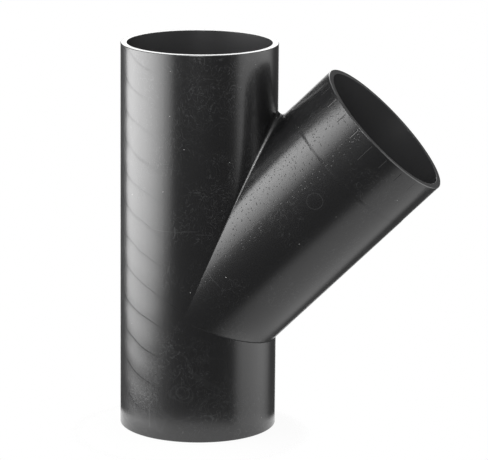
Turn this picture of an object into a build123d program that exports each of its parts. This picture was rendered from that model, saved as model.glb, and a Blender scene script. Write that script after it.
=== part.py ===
from build123d import *
import math
import os

# Lateral wye fitting: a straight run with one equal branch, moulded in one piece.
# The run's lower end face lies on z = 0 around the origin, and the branch leans towards +X.

outside_diameter = 110.0
wall = 4.3
branch_angle = 45.0
run_below_crossing = 87.0
run_above_crossing = 186.0
branch_length = 185.0

# Rounding where the two pipes meet: the crotch above, the heel below, the edge inside.
crotch_radius = 3.7
heel_radius = 1.5
inner_edge_radius = 0.8
rim_chamfer = 0.4
overcut = 1.0

# The branch's plain end is a hair slimmer than its body, from a fine step in the mould.
branch_spigot_length = 36.5
branch_spigot_step = 0.15

# Alignment marks: short axial cuts round the branch's end, a longer one at each quarter turn.
mark_width = 0.8
mark_depth = 0.25
mark_inset = 2.0
long_mark_length = 14.0
short_mark_length = 8.0
mark_step = 15.0

# Gate scar: a shallow round recess on the front of the run, where the melt came in.
gate_radius = 5.5
gate_depth = 0.3
gate_height = 36.0

outer_radius = outside_diameter / 2
bore_radius = outer_radius - wall
spigot_radius = outer_radius - branch_spigot_step
run_length = run_below_crossing + run_above_crossing
marks_per_quarter = round(90.0 / mark_step)
marks_per_turn = 4 * marks_per_quarter
standing = (Align.CENTER, Align.CENTER, Align.MIN)
branch_frame = Pos(0, 0, run_below_crossing) * Rot(0, branch_angle, 0)

# A cylinder's seam is turned to the side, where the creases die out, so fillets never cross it.
seam_to_side = Rot(0, 0, -90)


def run_rod(radius, beyond):
    rod = seam_to_side * Cylinder(radius, run_length + 2 * beyond, align=standing)
    return Pos(0, 0, -beyond) * rod


def branch_rod(radius, beyond):
    rod = seam_to_side * Cylinder(radius, branch_length + beyond, align=standing)
    return branch_frame * rod


def near_half(solid):
    """The half of the body on the -Y side of the plane that holds both axes."""
    size = 2 * (run_length + branch_length)
    return solid & Pos(0, -size / 2, 0) * Box(size, size, size)


def creases(solid, above, reach):
    """Curved edges where the two pipes meet, above or below the crossing, within reach of the run's axis."""
    found = []
    for edge in solid.edges():
        if edge.geom_type in (GeomType.CIRCLE, GeomType.LINE):
            continue
        middle = edge.position_at(0.5)
        on_side = middle.Y < -overcut
        in_reach = math.hypot(middle.X, middle.Y) < reach
        if on_side and in_reach and (middle.Z > run_below_crossing) == above:
            found.append(edge)
    return found


def longest(edges):
    return [max(edges, key=lambda edge: edge.length)]


def rounded_outside():
    reach = outer_radius + overcut
    solid = near_half(run_rod(outer_radius, 0) + branch_rod(outer_radius, 0))
    solid = solid.fillet(crotch_radius, creases(solid, True, reach))
    return solid.fillet(heel_radius, longest(creases(solid, False, reach)))


def bored(solid):
    solid = solid - run_rod(bore_radius, overcut)
    solid = solid - branch_rod(bore_radius, overcut)
    inner_edge = creases(solid, True, bore_radius + wall / 2)
    return solid.fillet(inner_edge_radius, longest(inner_edge))


def slim_spigot(solid):
    length = branch_spigot_length + overcut
    sleeve = Cylinder(outer_radius + overcut, length) - Cylinder(spigot_radius, length)
    return solid - branch_frame * Pos(0, 0, branch_length + overcut - length / 2) * sleeve


def outer_rims(solid):
    circles = solid.edges().filter_by(GeomType.CIRCLE)
    run_ends = [circle for circle in circles if abs(circle.radius - outer_radius) < 1e-3
                and min(abs(circle.center().Z), abs(circle.center().Z - run_length)) < 1e-3]
    mouth = (branch_frame * Pos(0, 0, branch_length)).position
    branch_end = [circle for circle in circles if abs(circle.radius - spigot_radius) < 1e-3
                  and (circle.arc_center - mouth).length < 1e-3]
    return run_ends + branch_end


def mark(turn, length):
    """One axial cut that starts a little way in from an end at z = 0 and runs up +Z."""
    block = Box(2 * mark_depth, mark_width, length, align=standing)
    return Rot(0, 0, turn) * Pos(spigot_radius, 0, mark_inset) * block


def branch_marks():
    cuts = []
    for index in range(marks_per_turn):
        on_quarter = index % marks_per_quarter == 0
        length = long_mark_length if on_quarter else short_mark_length
        cuts.append(mark(index * mark_step, length))
    mouth = branch_frame * Pos(0, 0, branch_length) * Rot(180, 0, 0)
    return [mouth * cut for cut in cuts]


def gate_scar():
    disc = Cylinder(gate_radius, 2 * wall)
    skin = Cylinder(outer_radius + overcut, 4 * gate_radius)
    skin = skin - Cylinder(outer_radius - gate_depth, 4 * gate_radius)
    front = Pos(0, -outer_radius, 0) * Rot(90, 0, 0) * disc
    return Pos(0, 0, gate_height) * (skin & front)


half_body = bored(rounded_outside())
wye_body = half_body + mirror(half_body, Plane.XZ)
wye_body = slim_spigot(wye_body)
wye_body = chamfer(outer_rims(wye_body), rim_chamfer)
wye_body = wye_body - branch_marks()
wye_body = wye_body - gate_scar()

os.makedirs("parts", exist_ok=True)
export_step(wye_body.solids()[0], "parts/wye_body.step")
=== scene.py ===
import bmesh
import bpy
import math
import numpy as np
from mathutils import Matrix, Vector


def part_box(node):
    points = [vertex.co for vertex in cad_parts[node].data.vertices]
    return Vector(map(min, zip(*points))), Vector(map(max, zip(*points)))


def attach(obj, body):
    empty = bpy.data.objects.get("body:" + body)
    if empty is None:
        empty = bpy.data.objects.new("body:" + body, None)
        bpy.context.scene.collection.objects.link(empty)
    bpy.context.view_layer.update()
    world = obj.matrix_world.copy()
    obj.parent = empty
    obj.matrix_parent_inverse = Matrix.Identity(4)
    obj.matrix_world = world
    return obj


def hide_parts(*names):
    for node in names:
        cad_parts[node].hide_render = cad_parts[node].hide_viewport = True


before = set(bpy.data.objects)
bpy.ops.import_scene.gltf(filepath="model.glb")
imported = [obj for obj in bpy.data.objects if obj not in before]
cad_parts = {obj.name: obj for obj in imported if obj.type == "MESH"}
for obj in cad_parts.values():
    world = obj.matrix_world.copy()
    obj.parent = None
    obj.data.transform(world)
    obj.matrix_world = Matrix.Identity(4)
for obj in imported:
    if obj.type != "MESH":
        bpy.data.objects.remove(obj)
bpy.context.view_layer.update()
print("frame loaded")

# the moulded body, in metres and degrees; its radius and the run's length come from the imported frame
low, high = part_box("wye_body")
body = dict(
    radius=(high[1] - low[1]) / 2,
    runLength=high[2] - low[2],
    below=0.087,            # lower end to where the two axes cross
    branchLength=0.185,     # crossing to the branch's mouth
    angle=45.0,
    wall=0.0043,
    crotchRound=0.0037,     # round of the upper crease at the crotch, and down its sides
    creaseRound=0.0008,
    crotchPower=60,         # the higher, the sooner the one shrinks to the other
    heelRound=0.0012,
    innerRound=0.0008,
    innerHeelRound=0.0003,
    rimChamfer=0.0004,
    spigotLength=0.0365,
    spigotStep=0.00015,
    stepRun=0.0018,         # length over which the step down to the spigot is spread
    markStep=15.0,          # cuts round the branch's end, a longer one at each quarter turn
    markWidth=0.0006,
    markDepth=0.00008,
    markInset=0.002,
    shortMark=0.008,
    longMark=0.014,
    highlightAngle=34.0,         # where the painted highlight on the upper crease is brightest, on either side of the crotch, and how wide that is
    highlightSpread=15.0,        # and how wide that is
)

# how the body's mesh is divided, and the close rows that keep its corners crisp
divisions = dict(
    columns=96,             # even columns in half a turn
    lowerRows=12,
    upperRows=24,
    branchRows=24,
    spigotRows=12,
    crotchSteps=14,
    heelSteps=6,
    creaseRows=(0.0, 0.00015, 0.0006, 0.002),           # first rows beside a crease
    openRows=(0.005, 0.002),                            # gaps from the crease and the rim to the even rows
    rimGuard=0.0003,                                    # last row before an outer rim
    edgeGuard=0.0002,                                   # rows on either side of the bore's edge
    chamferGuard=0.2,                                   # share of the chamfer, in from both its ends
    stepGuard=0.0005,                                   # first even row after the step
    markRows=(-0.00015, -0.00002, 0.00002, 0.00015),    # rows about each end of a mark
    markColumns=(0.15, 0.0, -0.1),                      # degrees outwards from a mark's edge
    leastSpread=1e-6,                                   # angle that a crease's arc never falls below
    weld=4e-6,                                          # points nearer than this become one
)

tilt = math.radians(body["angle"])
crossing = np.array([0.0, 0.0, body["below"]])
upWay = np.array([0.0, 0.0, 1.0])
branchWay = np.array([math.sin(tilt), 0.0, math.cos(tilt)])
toViewer = np.array([0.0, -1.0, 0.0])
# the side of the run that the branch leaves on, and the side of the branch that faces the upper leg
runFront = np.array([1.0, 0.0, 0.0])
branchCrotch = np.array([-math.cos(tilt), 0.0, math.sin(tilt)])
# how far along its legs each crease reaches at most, in radii
crotchRise = 1.0 / math.tan(tilt / 2)
heelRise = math.tan(tilt / 2)


def markEdge():
    # half a mark's width, in degrees
    return math.degrees(body["markWidth"] / 2 / body["radius"])


def halfTurn():
    # even angles over half a turn, with a few more on both sides of each mark
    even = np.linspace(-90.0, 90.0, divisions["columns"] + 1)
    beside = markEdge() + np.array(divisions["markColumns"])
    centres = np.arange(-90.0, 90.0 + body["markStep"] / 2, body["markStep"])
    extra = centres[:, None] + np.concatenate([-beside, beside])
    extra = extra[np.abs(extra) < 90.0]
    return np.radians(np.unique(np.round(np.concatenate([even, extra]), 9)))


def fullTurn():
    # two half turns; the first and last columns meet and are merged later
    half = halfTurn()
    return np.concatenate([half, half[1:] + math.pi])


def sideNormal(side, turn):
    # normal = cos(turn) * side + sin(turn) * the way to the viewer
    return np.cos(turn)[..., None] * side + np.sin(turn)[..., None] * toViewer


def legRows(count, length):
    # shares of the way from the crease to the end, with close rows beside the crease and the rim
    offCrease, offRim = divisions["openRows"]
    beside = np.array(divisions["creaseRows"]) / length
    even = np.linspace(offCrease / length, 1 - offRim / length, count)
    last = np.array([1 - divisions["rimGuard"] / length, 1.0])
    return np.concatenate([beside, even, last])


def legSurface(way, side, radius, ball, rise, reach, rows):
    # start = (radius + ball) * cos(turn) * rise; along = start + row * (reach - start);
    # point = crossing + along * way + radius * normal
    turn = halfTurn()
    start = (radius + ball) * np.cos(turn) * rise
    along = start + rows[:, None] * (reach - start)
    return crossing + along[..., None] * way + radius * sideNormal(side, turn)


def creaseBall():
    # round = crease + (crotch - crease) * a high power of cos(turn)
    more = body["crotchRound"] - body["creaseRound"]
    return body["creaseRound"] + more * np.cos(halfTurn()) ** body["crotchPower"]


def creaseArc(way, sideA, sideB, radius, ball, rise, steps):
    # a ball rolls in the corner between two legs, with its centre radius + ball from both axes;
    # arc = (sin((1 - part) * spread) * normalA + sin(part * spread) * normalB) / sin(spread);
    # point = centre - ball * arc
    turn = halfTurn()
    ball = np.broadcast_to(ball, turn.shape)[:, None]
    normalA = sideNormal(sideA, turn)
    normalB = sideNormal(sideB, turn)
    centre = crossing + (radius + ball) * (normalA + np.cos(turn)[:, None] * rise * way)
    cosine = np.clip(np.sum(normalA * normalB, axis=1), -1.0, 1.0)
    spread = np.maximum(np.arccos(cosine), divisions["leastSpread"])
    part = np.linspace(0.0, 1.0, steps + 1)[:, None]
    shareA = np.sin((1 - part) * spread) / np.sin(spread)
    shareB = np.sin(part * spread) / np.sin(spread)
    return centre - ball * (shareA[..., None] * normalA + shareB[..., None] * normalB)


def turnedProfile(way, side, alongs, radii):
    # each (along, radius) pair of the profile is carried once round the leg's axis:
    # point = crossing + along * way + radius * normal
    alongs = np.reshape(alongs, (-1, 1, 1))
    radii = np.reshape(radii, (len(alongs), -1, 1))
    return crossing + alongs * way + radii * sideNormal(side, fullTurn())


def rimProfile(reach, outer, inner):
    # steps in from the end and in from the skin: the chamfer, the flat ring, then the bore's sharp edge
    chamfer = body["rimChamfer"]
    near = divisions["chamferGuard"] * chamfer
    edge = divisions["edgeGuard"]
    wall = outer - inner
    steps = ((chamfer, 0.0), (chamfer - near, near), (near, chamfer - near), (0.0, chamfer),
             (0.0, chamfer + divisions["rimGuard"]), (0.0, wall / 2), (0.0, wall - edge), (0.0, wall),
             (edge, wall))
    down, sunk = np.array(steps).T
    return reach - down, outer - sunk


def offStep(turn, step):
    # distance to the nearest whole number of steps
    return np.abs((turn + step / 2) % step - step / 2)


def endMarks(alongs):
    # depth is markDepth within half a mark's width of each step and within its length, and 0 elsewhere
    turn = np.degrees(fullTurn())
    floor = markEdge() + divisions["markColumns"][-1] / 2
    end = body["branchLength"] - body["markInset"]
    length = np.where(offStep(turn, 90.0) < floor, body["longMark"], body["shortMark"])
    within = (alongs > end - length) & (alongs < end)
    return body["markDepth"] * ((offStep(turn, body["markStep"]) < floor) & within)


def spigotSurface():
    # the branch's plain end: the radius falls evenly over stepRun, less the depth of the marks
    outer = body["radius"]
    stepStart = body["branchLength"] - body["spigotLength"]
    stepEnd = stepStart + body["stepRun"]
    rim = body["branchLength"] - body["rimChamfer"]
    markEnd = body["branchLength"] - body["markInset"]
    markStarts = [markEnd - body["longMark"], markEnd - body["shortMark"]]
    even = np.linspace(stepEnd + divisions["stepGuard"], rim - divisions["rimGuard"], divisions["spigotRows"])
    aboutMarks = np.array([*markStarts, markEnd])[:, None] + divisions["markRows"]
    single = [stepStart, (stepStart + stepEnd) / 2, stepEnd, rim]
    alongs = np.sort(np.concatenate([single, even, aboutMarks.ravel()]))[:, None]
    radii = np.interp(alongs, [stepStart, stepEnd], [outer, outer - body["spigotStep"]])
    return turnedProfile(branchWay, branchCrotch, alongs, radii - endMarks(alongs))


def gridFaces(rows, columns, first):
    # four corners of each cell of a grid whose points are numbered row by row from first
    corner = first + (np.arange(rows - 1)[:, None] * columns + np.arange(columns - 1)[None, :]).ravel()
    return np.stack([corner, corner + 1, corner + columns + 1, corner + columns], axis=1)


def weldedMesh(name, grids, values):
    # one mesh from many grids: points that meet are merged, and faces turned outwards
    points = []
    faces = []
    layers = {key: [] for key in values[0]}
    first = 0
    for grid, ownValues in zip(grids, values):
        rows, columns = grid.shape[:2]
        points.append(grid.reshape(-1, 3))
        faces.append(gridFaces(rows, columns, first))
        for key, value in ownValues.items():
            layers[key].append(np.broadcast_to(value, (rows, columns)).ravel().astype(np.float32))
        first += rows * columns
    mesh = bpy.data.meshes.new(name)
    mesh.from_pydata(np.concatenate(points), [], np.concatenate(faces))
    for key, parts in layers.items():
        layer = mesh.attributes.new(key, "FLOAT", "POINT")
        layer.data.foreach_set("value", np.concatenate(parts))
    built = bmesh.new()
    built.from_mesh(mesh)
    bmesh.ops.remove_doubles(built, verts=built.verts, dist=divisions["weld"])
    bmesh.ops.recalc_face_normals(built, faces=built.faces)
    built.to_mesh(mesh)
    built.free()
    mesh.shade_smooth()
    return mesh


def shellGrids(radius, reachDown, reachUp, reachOut, crotchBall, heelBall):
    # one skin of the body, outside or inside: each leg in two halves, then each rounded crease in two halves;
    # each grid has whether it is the branch's, and a crease value: above 0 it is a painted highlight along
    # the upper crease, below 0 it makes the lower crease dull
    down = legRows(divisions["lowerRows"], reachDown)
    up = legRows(divisions["upperRows"], reachUp)
    out = legRows(divisions["branchRows"], reachOut)
    grids = [
        (legSurface(-upWay, runFront, radius, heelBall, heelRise, reachDown, down), 0.0, 0.0),
        (legSurface(upWay, runFront, radius, crotchBall, crotchRise, reachUp, up), 0.0, 0.0),
        (legSurface(-upWay, -runFront, radius, 0.0, 0.0, reachDown, down), 0.0, 0.0),
        (legSurface(upWay, -runFront, radius, 0.0, 0.0, reachUp, up), 0.0, 0.0),
        (legSurface(branchWay, branchCrotch, radius, crotchBall, crotchRise, reachOut, out), 1.0, 0.0),
        (legSurface(branchWay, -branchCrotch, radius, heelBall, heelRise, reachOut, out), 1.0, 0.0),
    ]
    crotch = creaseArc(upWay, runFront, branchCrotch, radius, crotchBall, crotchRise,
                       divisions["crotchSteps"])
    heel = creaseArc(-upWay, runFront, -branchCrotch, radius, heelBall, heelRise, divisions["heelSteps"])
    # painted highlight along the upper crease: pale = exp(-x * x), where x is the angle off its brightest
    # place, in spreads
    offBrightest = (np.degrees(np.abs(halfTurn())) - body["highlightAngle"]) / body["highlightSpread"]
    pale = np.exp(-offBrightest ** 2)
    for crease, value in ((crotch, pale), (heel, -1.0)):
        half = len(crease) // 2
        grids.append((crease[:half + 1], 0.0, value))
        grids.append((crease[half:], 1.0, value))
    return grids


def buildBody():
    outer = body["radius"]
    inner = outer - body["wall"]
    spigot = outer - body["spigotStep"]
    below = body["below"]
    above = body["runLength"] - below
    reach = body["branchLength"]
    chamfer = body["rimChamfer"]
    edge = divisions["edgeGuard"]

    outerSkin = shellGrids(outer, below - chamfer, above - chamfer, reach - body["spigotLength"],
                           creaseBall(), body["heelRound"])
    innerSkin = shellGrids(inner, below - edge, above - edge, reach - edge,
                           body["innerRound"], body["innerHeelRound"])
    rims = [
        (turnedProfile(-upWay, runFront, *rimProfile(below, outer, inner)), 0.0, 0.0),
        (turnedProfile(upWay, runFront, *rimProfile(above, outer, inner)), 0.0, 0.0),
        (turnedProfile(branchWay, branchCrotch, *rimProfile(reach, spigot, inner)), 1.0, 0.0),
    ]
    grids = []
    values = []
    spigotGrids = [(spigotSurface(), 1.0, 0.0)]
    for group, inside in ((outerSkin, 0.0), (innerSkin, 1.0), (spigotGrids, 0.0), (rims, 0.5)):
        for grid, onBranch, crease in group:
            grids.append(grid)
            values.append(dict(onBranch=onBranch, inside=inside, crease=0.0 if inside else crease))
    return bpy.data.objects.new("wyeSkin", weldedMesh("wyeSkin", grids, values))


wyeSkin = buildBody()
bpy.context.scene.collection.objects.link(wyeSkin)
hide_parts("wye_body")
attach(wyeSkin, "root")
print("body built:", len(wyeSkin.data.polygons), "faces")

# black polyethylene
plastic = dict(
    colour=(0.0125, 0.0125, 0.013),
    boreFillLightColour=(0.036, 0.036, 0.037),   # painted fill light: the bore is painted paler than the outside, standing in for light inside
    rimColour=(0.06, 0.06, 0.061),
    # painted highlight: a pale colour laid along the upper crease
    creaseHighlightColour=(0.30, 0.30, 0.30),
    scuffColour=(0.075, 0.077, 0.078),
    dustColour=(0.55, 0.55, 0.54),
    haze=0.3,               # roughness of the wide, dull part of the gloss
    dullRoughness=0.9,      # the same in the lower crease
    ior=1.5,
    wet=0.75,               # strength and roughness of the sharp, wet part
    wetRoughness=0.18,
)

# marks in the skin: a place is (degrees round a leg from the side that the branch leans to, metres from the
# crossing), a height is in millimetres, and a loss is the share of the wet gloss that a mark takes away
marks = dict(
    # spans over which the mesh's own values turn into masks of the outside, the branch and the dull crease
    outsideSpan=(0.25, 0.0), branchSpan=(0.4, 0.6), dullSpan=(-0.2, -0.8),

    driftSize=0.026,                    # slow noise by which lines wander
    lineCore=0.2, dotCore=0.4,          # share of a line, and of a dot, that has full strength
    swellSize=0.03, swellHeight=0.02,   # the whole skin is uneven, and has fine orange peel
    peelSize=0.004, peelHeight=0.004,

    # flow fronts on the run: slanting teeth on a swell, with a fold that takes gloss at each tip
    ripplePitch=0.0222, rippleSlope=0.43, rippleStart=0.0165, rippleDrift=0.006,
    rippleHeight=0.048, rippleSwell=0.03, rippleTip=(1.0, 0.95),
    rippleFrom=(-179, -168), rippleTo=(-98, -128),
    foldPlace=0.92, foldWidth=0.08, foldDrift=(-0.12, 0.12), foldLoss=(0.03, 0.32),

    # rings, each with its radius, width and strength
    gate=(-89.6, -0.0513), gateWobble=2.2,
    gateRings=((0.0055, 0.0007, 0.17), (0.0083, 0.0007, 0.09), (0.018, 0.0016, 0.06),
               (0.029, 0.0016, 0.04)),
    ejector=(-89.0, 0.1275), ejectorWobble=0.6,
    ejectorRing=(0.0055, 0.0004, 0.22),

    # short straight strokes: degrees, metres, width, length, on the branch or not; strokeEnds are how far
    # from its middle a stroke is gone, and is still full, in widths and lengths
    strokes=((-116.5, -0.0715, 0.0012, 0.017, 0.0), (-75.4, 0.183, 0.0006, 0.006, 0.0),
             (-96.0, 0.0632, 0.030, 0.0005, 0.0), (-75.0, 0.0612, 0.012, 0.0005, 0.0),
             (-98.0, 0.0368, 0.014, 0.0005, 1.0)),
    strokeEnds=(0.6, 0.4), strokeDrift=0.004, strokeStrength=0.22,

    # fine curls in patches
    curlSize=0.009, curlDetail=1.5, curlTwist=2.5, curlWidth=0.020, curlStrength=0.32, curlLoss=0.5,
    patchSize=0.035, patchSpan=(0.40, 0.60),
    scuffHeight=0.04,

    # the mould's parting line: its slope, height and width, then where it starts and ends along X
    partingSlope=0.57, partingRise=0.0062, partingWidth=0.0007, partingHeight=-0.05,
    partingFrom=(-0.0125, -0.0105), partingTo=(0.012, 0.006),

    # pits, most of them on one flank of the branch, which is given in metres round it, and grains of dust
    speckSize=0.0019, speckRadius=0.00047, speckShare=0.8, speckHeight=-0.14, speckLoss=0.4,
    speckPatch=0.012, speckSpan=(0.28, 0.45),
    flankFrom=(-0.150, -0.138), flankTo=(-0.090, -0.105), speckElsewhere=0.15,
    dustSize=0.005, dustRadius=0.00032, dustShare=0.12,
)


# short words for maths on a material's nodes
class Wiring:
    def __init__(self, tree):
        self.tree = tree

    def add(self, kind, **settings):
        node = self.tree.nodes.new(kind)
        for key, value in settings.items():
            setattr(node, key, value)
        return node

    def join(self, source, socket):
        if hasattr(source, "is_output"):
            self.tree.links.new(source, socket)
        else:
            socket.default_value = source

    def feed(self, node, *values):
        for value, socket in zip(values, node.inputs):
            self.join(value, socket)
        return node

    def maths(self, operation, *values):
        return self.feed(self.add("ShaderNodeMath", operation=operation), *values).outputs[0]

    def minus(self, first, second):
        return self.maths("SUBTRACT", first, second)

    def times(self, first, *others):
        for other in others:
            first = self.maths("MULTIPLY", first, other)
        return first

    def most(self, first, *others):
        for other in others:
            first = self.maths("MAXIMUM", first, other)
        return first

    def blend(self, first, second, share):
        return self.maths("MULTIPLY_ADD", self.minus(second, first), share, first)

    def ramp(self, value, low, high, start=0.0, end=1.0):
        node = self.add("ShaderNodeMapRange", interpolation_type="SMOOTHSTEP")
        return self.feed(node, value, low, high, start, end).outputs[0]

    def vector(self, operation, *values):
        node = self.feed(self.add("ShaderNodeVectorMath", operation=operation), *values)
        return node.outputs["Value" if operation in ("DOT_PRODUCT", "LENGTH") else "Vector"]

    def tint(self, colour, over, share):
        node = self.add("ShaderNodeMix", data_type="RGBA")
        self.join(share, node.inputs["Factor"])
        self.join(colour, node.inputs[6])
        self.join((*over, 1.0), node.inputs[7])
        return node.outputs[2]

    def layer(self, share, below, above):
        return self.feed(self.add("ShaderNodeMixShader"), share, below, above).outputs[0]


def roundLeg(angle):
    # metres round a leg for an angle in degrees
    return math.radians(angle) * body["radius"]


# where a point lies on the body: along is metres from the crossing along its leg, and arc is metres round it
class Skin(Wiring):
    def __init__(self, tree):
        super().__init__(tree)
        self.place = self.add("ShaderNodeTexCoord").outputs["Object"]
        self.x, y, z = self.feed(self.add("ShaderNodeSeparateXYZ"), self.place).outputs
        self.inside = self.value("inside")
        self.outside = self.ramp(self.inside, *marks["outsideSpan"])
        self.branch = self.ramp(self.value("onBranch"), *marks["branchSpan"])
        self.run = self.minus(1.0, self.branch)
        self.rise = self.minus(z, body["below"])
        out = self.maths("MULTIPLY_ADD", self.x, math.sin(tilt), self.times(self.rise, math.cos(tilt)))
        lean = self.maths("MULTIPLY_ADD", self.x, math.cos(tilt), self.times(self.rise, -math.sin(tilt)))
        self.along = self.blend(self.rise, out, self.branch)
        self.arc = self.times(self.maths("ARCTAN2", y, self.blend(self.x, lean, self.branch)), body["radius"])
        self.drift = self.minus(self.noise(marks["driftSize"], 1.0), 0.5)

    def value(self, name):
        return self.add("ShaderNodeAttribute", attribute_name=name).outputs["Fac"]

    def noise(self, size, detail=2.0, twist=0.0):
        node = self.add("ShaderNodeTexNoise")
        self.join(self.place, node.inputs["Vector"])
        node.inputs["Scale"].default_value = 1.0 / size
        node.inputs["Detail"].default_value = detail
        node.inputs["Distortion"].default_value = twist
        return node.outputs["Fac"]

    def spots(self, size, radius, share):
        # round dots of one radius in a share of the cells
        node = self.add("ShaderNodeTexVoronoi")
        self.join(self.place, node.inputs["Vector"])
        node.inputs["Scale"].default_value = 1.0 / size
        pick = self.feed(self.add("ShaderNodeSeparateColor"), node.outputs["Color"]).outputs[0]
        dot = self.ramp(node.outputs["Distance"], radius / size, marks["dotCore"] * radius / size)
        return self.times(dot, self.maths("LESS_THAN", pick, share))

    def away(self, spot, wobble):
        # distance over the skin from one spot, with a wobble that grows outwards
        across = self.minus(self.arc, roundLeg(spot[0]))
        up = self.minus(self.along, spot[1])
        far = self.maths("SQRT", self.maths("ADD", self.times(across, across), self.times(up, up)))
        return self.maths("MULTIPLY_ADD", far, self.times(self.drift, wobble), far)

    def line(self, distance, width):
        return self.ramp(self.maths("ABSOLUTE", distance), width, marks["lineCore"] * width)

    def window(self, value, start, end):
        # comes up over the span start, and goes down over the span end, given from its far side
        return self.times(self.ramp(value, *start), self.ramp(value, *end))


def scuffLines(skin):
    # pale rings round the gate and the ejector, and short strokes
    lines = []
    gateFar = skin.away(marks["gate"], marks["gateWobble"])
    for radius, width, strength in marks["gateRings"]:
        lines.append(skin.times(skin.line(skin.minus(gateFar, radius), width), skin.run, strength))
    radius, width, strength = marks["ejectorRing"]
    ejectorFar = skin.away(marks["ejector"], marks["ejectorWobble"])
    lines.append(skin.times(skin.line(skin.minus(ejectorFar, radius), width), skin.branch, strength))
    off, full = marks["strokeEnds"]
    for angle, height, width, length, onBranch in marks["strokes"]:
        across = skin.minus(skin.arc, roundLeg(angle))
        up = skin.maths("MULTIPLY_ADD", skin.drift, marks["strokeDrift"], skin.minus(skin.along, height))
        lines.append(skin.times(skin.ramp(skin.maths("ABSOLUTE", across), off * width, full * width),
                                skin.ramp(skin.maths("ABSOLUTE", up), off * length, full * length),
                                skin.branch if onBranch else skin.run, marks["strokeStrength"]))
    return skin.most(*lines)


def fineCurls(skin):
    # the middle level of a twisted noise, in patches
    level = skin.noise(marks["curlSize"], marks["curlDetail"], marks["curlTwist"])
    patch = skin.ramp(skin.noise(marks["patchSize"]), *marks["patchSpan"])
    return skin.times(skin.line(skin.minus(level, 0.5), marks["curlWidth"]), patch, marks["curlStrength"])


def flowFronts(skin):
    # height of the fronts, and the gloss that their folds take
    wave = skin.maths("MULTIPLY_ADD", skin.arc, marks["rippleSlope"], skin.along)
    wave = skin.maths("MULTIPLY_ADD", skin.drift, marks["rippleDrift"], wave)
    wave = skin.maths("DIVIDE", skin.minus(wave, marks["rippleStart"]), marks["ripplePitch"])
    tooth = skin.maths("FRACT", wave)
    tooth = skin.times(tooth, skin.ramp(tooth, *marks["rippleTip"]))
    swell = skin.maths("SINE", skin.times(wave, 2 * math.pi))
    sunk = skin.times(tooth, -marks["rippleHeight"])
    height = skin.maths("MULTIPLY_ADD", swell, marks["rippleSwell"], sunk)
    fold = skin.line(skin.minus(tooth, marks["foldPlace"]), marks["foldWidth"])
    foldLoss = skin.ramp(skin.drift, *marks["foldDrift"], *marks["foldLoss"])
    where = skin.window(skin.arc, map(roundLeg, marks["rippleFrom"]), map(roundLeg, marks["rippleTo"]))
    where = skin.times(where, skin.run)
    return skin.times(height, where), skin.times(fold, foldLoss, where)


def partingLine(skin):
    # runs on a short way over the run from both ends of the lower crease
    slanted = skin.maths("MULTIPLY_ADD", skin.x, marks["partingSlope"], skin.rise)
    offLine = skin.minus(slanted, marks["partingRise"])
    where = skin.window(skin.x, marks["partingFrom"], marks["partingTo"])
    return skin.times(skin.line(offLine, marks["partingWidth"]), where, skin.run)


def speckPits(skin):
    dots = skin.spots(marks["speckSize"], marks["speckRadius"], marks["speckShare"])
    patch = skin.ramp(skin.noise(marks["speckPatch"]), *marks["speckSpan"])
    flank = skin.times(skin.window(skin.arc, marks["flankFrom"], marks["flankTo"]), skin.branch)
    return skin.times(dots, patch, skin.outside, skin.blend(marks["speckElsewhere"], 1.0, flank))


def blackPolyethylene():
    material = bpy.data.materials.new("blackPolyethylene")
    material.use_nodes = True
    skin = Skin(material.node_tree)
    shader = material.node_tree.nodes["Principled BSDF"]
    shader.inputs["IOR"].default_value = plastic["ior"]
    shader.inputs["Coat Roughness"].default_value = plastic["wetRoughness"]
    curls = fineCurls(skin)
    scuff = skin.times(skin.most(scuffLines(skin), curls), skin.outside)
    specks = speckPits(skin)
    height, foldLoss = flowFronts(skin)
    crease = skin.value("crease")
    dull = skin.ramp(crease, *marks["dullSpan"])

    for field, depth in ((skin.noise(marks["swellSize"], 1.0), marks["swellHeight"]),
                         (skin.noise(marks["peelSize"]), marks["peelHeight"]),
                         (scuff, marks["scuffHeight"]),
                         (specks, marks["speckHeight"]),
                         (partingLine(skin), marks["partingHeight"])):
        height = skin.maths("MULTIPLY_ADD", field, depth, height)
    bump = skin.add("ShaderNodeBump")
    bump.inputs["Distance"].default_value = 0.001   # heights are in millimetres
    skin.join(height, bump.inputs["Height"])
    skin.join(bump.outputs["Normal"], shader.inputs["Normal"])
    skin.join(bump.outputs["Normal"], shader.inputs["Coat Normal"])

    curlLoss = skin.times(curls, skin.branch, marks["curlLoss"])
    lost = skin.most(skin.times(specks, marks["speckLoss"]), foldLoss, curlLoss, dull)
    skin.join(skin.blend(plastic["wet"], 0.0, lost), shader.inputs["Coat Weight"])
    skin.join(skin.blend(plastic["haze"], plastic["dullRoughness"], dull), shader.inputs["Roughness"])

    # outside, rim and bore colours; the bore's paler colour is painted fill light
    tone = skin.add("ShaderNodeValToRGB")
    tone.color_ramp.elements[0].color = (*plastic["colour"], 1.0)
    tone.color_ramp.elements[1].color = (*plastic["boreFillLightColour"], 1.0)
    tone.color_ramp.elements.new(0.5).color = (*plastic["rimColour"], 1.0)
    skin.join(skin.inside, tone.inputs[0])
    dust = skin.times(skin.spots(marks["dustSize"], marks["dustRadius"], marks["dustShare"]), skin.outside)
    # painted highlight: the upper crease is tinted pale where its crease value is above 0
    colour = skin.tint(tone.outputs["Color"], plastic["creaseHighlightColour"], skin.most(crease, 0.0))
    colour = skin.tint(colour, plastic["scuffColour"], scuff)
    colour = skin.tint(colour, plastic["dustColour"], dust)
    skin.join(colour, shader.inputs["Base Color"])
    return material


wyeSkin.data.materials.append(blackPolyethylene())
print("plastic made")

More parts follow.
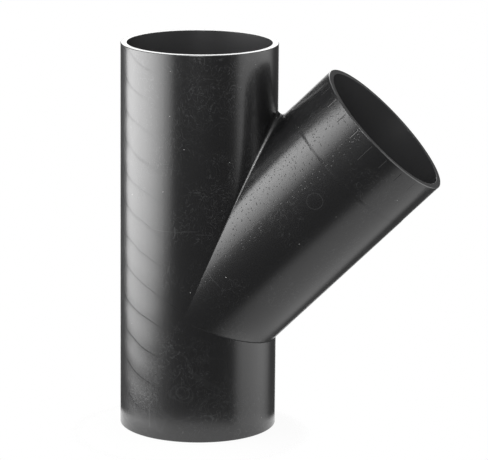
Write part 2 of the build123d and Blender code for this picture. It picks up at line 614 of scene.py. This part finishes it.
# the pale sheet under the fitting, a disc that melts away towards its edge, and the world round it
studio = dict(
    sheetMiddle=(0.0, -0.028),
    sheetReach=(0.080, 0.078),
    sheetFade=(1.08, 0.92),     # shares of the reach where the sheet ends and where it is whole
    sheetColour=(0.82, 0.82, 0.82),
    sheetRoughness=0.9,
    sheetWhite=0.92,            # share of plain white that the camera sees in the sheet
    sheetGlow=0.8,              # and that the fitting mirrors
    frontDark=0.015,            # what the fitting mirrors of the world in front, and behind
    backPale=0.07,
    backSpan=(0.55, 0.7),       # cosines to straight behind over which the one turns into the other
    bandSpan=(0.970, 0.992),    # and over which an upright white band comes up
    ambient=0.6,                # plain light on dull surfaces
)


def rayKinds(wire):
    # whether a ray is the camera's own, whether it was mirrored or let through, and whether it was scattered
    path = wire.add("ShaderNodeLightPath")
    mirrored = wire.most(path.outputs["Is Glossy Ray"], path.outputs["Is Transmission Ray"])
    return path.outputs["Is Camera Ray"], mirrored, path.outputs["Is Diffuse Ray"]


def sheetMaterial():
    material = bpy.data.materials.new("paleSheet")
    material.use_nodes = True
    wire = Wiring(material.node_tree)
    nodes = material.node_tree.nodes
    shader = nodes["Principled BSDF"]
    shader.inputs["Base Color"].default_value = (*studio["sheetColour"], 1.0)
    shader.inputs["Roughness"].default_value = studio["sheetRoughness"]
    shader.inputs["Specular IOR Level"].default_value = 0.0

    # distance from the disc's middle, as a share of its reach
    middle, reach = studio["sheetMiddle"], studio["sheetReach"]
    disc = wire.add("ShaderNodeMapping")
    disc.inputs["Location"].default_value = (-middle[0] / reach[0], -middle[1] / reach[1], 0)
    disc.inputs["Scale"].default_value = (1 / reach[0], 1 / reach[1], 0)
    wire.join(wire.add("ShaderNodeTexCoord").outputs["Object"], disc.inputs["Vector"])
    cover = wire.ramp(wire.vector("LENGTH", disc.outputs[0]), *studio["sheetFade"])

    cameraRay, mirrored, _ = rayKinds(wire)
    seen = wire.most(wire.times(cameraRay, studio["sheetWhite"]), wire.times(mirrored, studio["sheetGlow"]))
    lit = wire.layer(seen, shader.outputs[0], wire.add("ShaderNodeEmission").outputs[0])
    whole = wire.layer(cover, wire.add("ShaderNodeBsdfTransparent").outputs[0], lit)
    wire.join(whole, nodes["Material Output"].inputs["Surface"])
    return material


def paleSheet():
    middle = studio["sheetMiddle"]
    wide, deep = (reach * studio["sheetFade"][0] for reach in studio["sheetReach"])
    signs = ((-1, -1), (1, -1), (1, 1), (-1, 1))
    corners = [(middle[0] + wide * i, middle[1] + deep * j, 0) for i, j in signs]
    mesh = bpy.data.meshes.new("paleSheet")
    mesh.from_pydata(corners, [], [(0, 1, 2, 3)])
    mesh.materials.append(sheetMaterial())
    sheet = bpy.data.objects.new("paleSheet", mesh)
    bpy.context.scene.collection.objects.link(sheet)


camera = dict(azimuth=10.31, elevation=13.07, distance=2.1467, lens=225.83,
              target=(0.03236, 0.0, 0.14092), roll=0.52, sensor=36.0, clipEnd=20.0)


def cameraAxes():
    # right, up, and back from the target to the camera
    azimuth, elevation, roll = (math.radians(camera[key]) for key in ("azimuth", "elevation", "roll"))
    back = Vector((math.sin(azimuth) * math.cos(elevation), -math.cos(azimuth) * math.cos(elevation),
                   math.sin(elevation)))
    level = Vector((math.cos(azimuth), math.sin(azimuth), 0.0))
    right = math.cos(roll) * level + math.sin(roll) * back.cross(level)
    return right, back.cross(right), back


def studioCamera():
    right, up, back = cameraAxes()
    data = bpy.data.cameras.new("studioCamera")
    data.sensor_width = camera["sensor"]
    data.lens = camera["lens"]
    data.clip_end = camera["clipEnd"]
    holder = bpy.data.objects.new("studioCamera", data)
    turn = Matrix((right, up, back)).transposed().to_4x4()
    holder.matrix_world = Matrix.Translation(Vector(camera["target"]) + back * camera["distance"]) @ turn
    bpy.context.scene.collection.objects.link(holder)
    bpy.context.scene.camera = holder


def studioWorld():
    world = bpy.data.worlds.new("studio")
    bpy.context.scene.world = world
    world.use_nodes = True
    wire = Wiring(world.node_tree)
    direction = wire.add("ShaderNodeTexCoord").outputs["Generated"]
    back = cameraAxes()[2]
    behind = Vector((-back.x, -back.y, 0.0)).normalized()
    pale = wire.ramp(wire.vector("DOT_PRODUCT", direction, behind), *studio["backSpan"],
                     studio["frontDark"], studio["backPale"])
    heading = wire.vector("NORMALIZE", wire.vector("MULTIPLY", direction, (1.0, 1.0, 0.0)))
    band = wire.ramp(wire.vector("DOT_PRODUCT", heading, behind), *studio["bandSpan"])
    cameraRay, mirrored, diffuseRay = rayKinds(wire)
    seen = wire.most(pale, wire.times(band, mirrored), cameraRay)
    strength = wire.most(seen, wire.times(diffuseRay, studio["ambient"]))
    background = world.node_tree.nodes["Background"]
    background.inputs["Color"].default_value = (1.0, 1.0, 1.0, 1.0)
    wire.join(strength, background.inputs["Strength"])


# upright panels that face the fitting: azimuth from the camera's side, distance, width, heights of foot and
# head, brightness and roll; a panel starts at a share of its width from the side near the viewer, comes up
# over a span from that side and over one from the far side, and over a span of heights
lamps = dict(
    left=dict(azimuth=-80, distance=0.9, width=2.05, foot=-0.165, head=0.76, level=5.8, roll=5.4,
              start=0.13, near=(-0.02, 0.53), far=(-0.44, 0.48), rise=(-0.44, 0.10)),
    right=dict(azimuth=90, distance=0.9, width=1.7, foot=-0.45, head=0.75, level=1.32, roll=0,
               start=0.0, near=(0.07, 0.24), far=(-0.1, 0.40), rise=(-0.55, -0.10)),
    back=dict(azimuth=180, distance=0.9, width=0.55, foot=0.36, head=0.80, level=1.7, roll=0,
              start=0.0, near=(0.0, 0.2), far=(0.0, 0.2), rise=(0.36, 0.42)),
    front=dict(azimuth=-6, distance=0.6, width=0.18, foot=0.25, head=1.3, level=9.0, roll=0,
               start=0.0, near=(0.0, 0.3), far=(0.0, 0.3), rise=(0.25, 0.40)),
)
panels = dict(middle=0.03, edge=0.01)   # what they face, along X, and how soft a panel's start is

# a flat panel under the branch, which shines up; its edge is a share of each side
lowPanel = dict(middle=(0.41, -0.05, -0.30), width=0.52, depth=1.00, level=0.74, edge=0.2)


def panel(name, width, height, level):
    # a shining rectangle that the camera does not see
    lamp = bpy.data.lights.new(name, "AREA")
    lamp.shape = "RECTANGLE"
    lamp.size = width
    lamp.size_y = height
    lamp.energy = level * math.pi * width * height
    lamp.use_nodes = True
    wire = Wiring(lamp.node_tree)
    place = wire.add("ShaderNodeNewGeometry").outputs["Parametric"]
    across, upwards, _ = wire.feed(wire.add("ShaderNodeSeparateXYZ"), place).outputs
    holder = bpy.data.objects.new(name, lamp)
    holder.visible_camera = False
    bpy.context.scene.collection.objects.link(holder)
    return holder, wire, across, upwards, lamp.node_tree.nodes["Emission"].inputs["Strength"]


def softbox(name, azimuth, distance, width, foot, head, level, roll, start, near, far, rise):
    # the glow is the product of smooth ramps over the panel
    height = head - foot
    holder, wire, across, upwards, strength = panel(name, width, height, level)
    fromNear = across if azimuth > 0 else wire.minus(1.0, across)
    sides = wire.times(wire.ramp(fromNear, *near), wire.ramp(wire.minus(1.0, fromNear), *far))
    started = wire.ramp(fromNear, start - panels["edge"], start + panels["edge"])
    risen = wire.ramp(upwards, *((place - foot) / height for place in rise))
    wire.join(wire.times(sides, started, risen), strength)
    azimuth = math.radians(azimuth + camera["azimuth"])
    away = Vector((math.sin(azimuth), -math.cos(azimuth), 0.0))
    place = Vector((panels["middle"], 0.0, (foot + head) / 2)) + away * distance
    turn = away.to_track_quat("Z", "Y").to_matrix().to_4x4() @ Matrix.Rotation(math.radians(roll), 4, "Z")
    holder.matrix_world = Matrix.Translation(place) @ turn


def lowBox():
    size = (lowPanel["width"], lowPanel["depth"])
    holder, wire, across, upwards, strength = panel("lowBox", *size, lowPanel["level"])
    fromSides = (across, wire.minus(1.0, across), upwards, wire.minus(1.0, upwards))
    wire.join(wire.times(*(wire.ramp(share, 0.0, lowPanel["edge"]) for share in fromSides)), strength)
    holder.matrix_world = Matrix.Translation(Vector(lowPanel["middle"])) @ Matrix.Rotation(math.pi, 4, "X")


paleSheet()
studioWorld()
for side, values in lamps.items():
    softbox(side + "Box", **values)
lowBox()
studioCamera()
bpy.context.scene.view_settings.view_transform = "Standard"
print("studio set")
